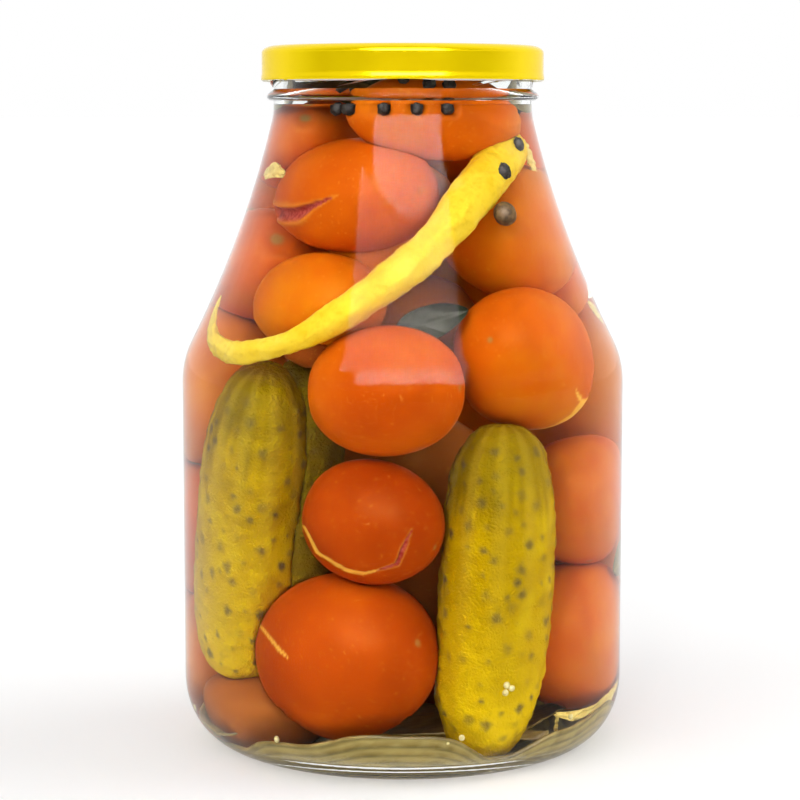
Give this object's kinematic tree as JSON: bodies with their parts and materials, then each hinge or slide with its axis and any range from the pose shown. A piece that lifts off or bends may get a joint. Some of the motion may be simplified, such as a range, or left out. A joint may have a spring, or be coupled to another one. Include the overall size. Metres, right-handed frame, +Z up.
{
  "type": "jar of pickled vegetables",
  "caption": "Clear glass preserving jar with a yellow twist-off lid, filled with tomatoes, gherkins, a yellow hot pepper and whole spices in brine.",
  "frame": {"origin": "centre of the jar's bearing ring, on the surface that the jar stands on", "axes": "+Z up along the jar's axis, -Y towards the front, +X to the right seen from the front"},
  "size_m": [0.1346, 0.1346, 0.2128],
  "materials": {
    "glass": "polished",
    "lid_lacquer": "gloss",
    "seal_compound": "satin",
    "brine": "gloss",
    "tomato_skin": "gloss",
    "gherkin_skin": "satin",
    "hot_pepper_skin": "gloss",
    "dark_spice": "matte",
    "pale_seed": "satin",
    "leaf": "satin"
  },
  "bodies": {
    "root": {"glass_jar": "glass", "lid": "lid_lacquer", "seal_ring": "seal_compound", "brine": "brine"}
  },
  "joints": []
}
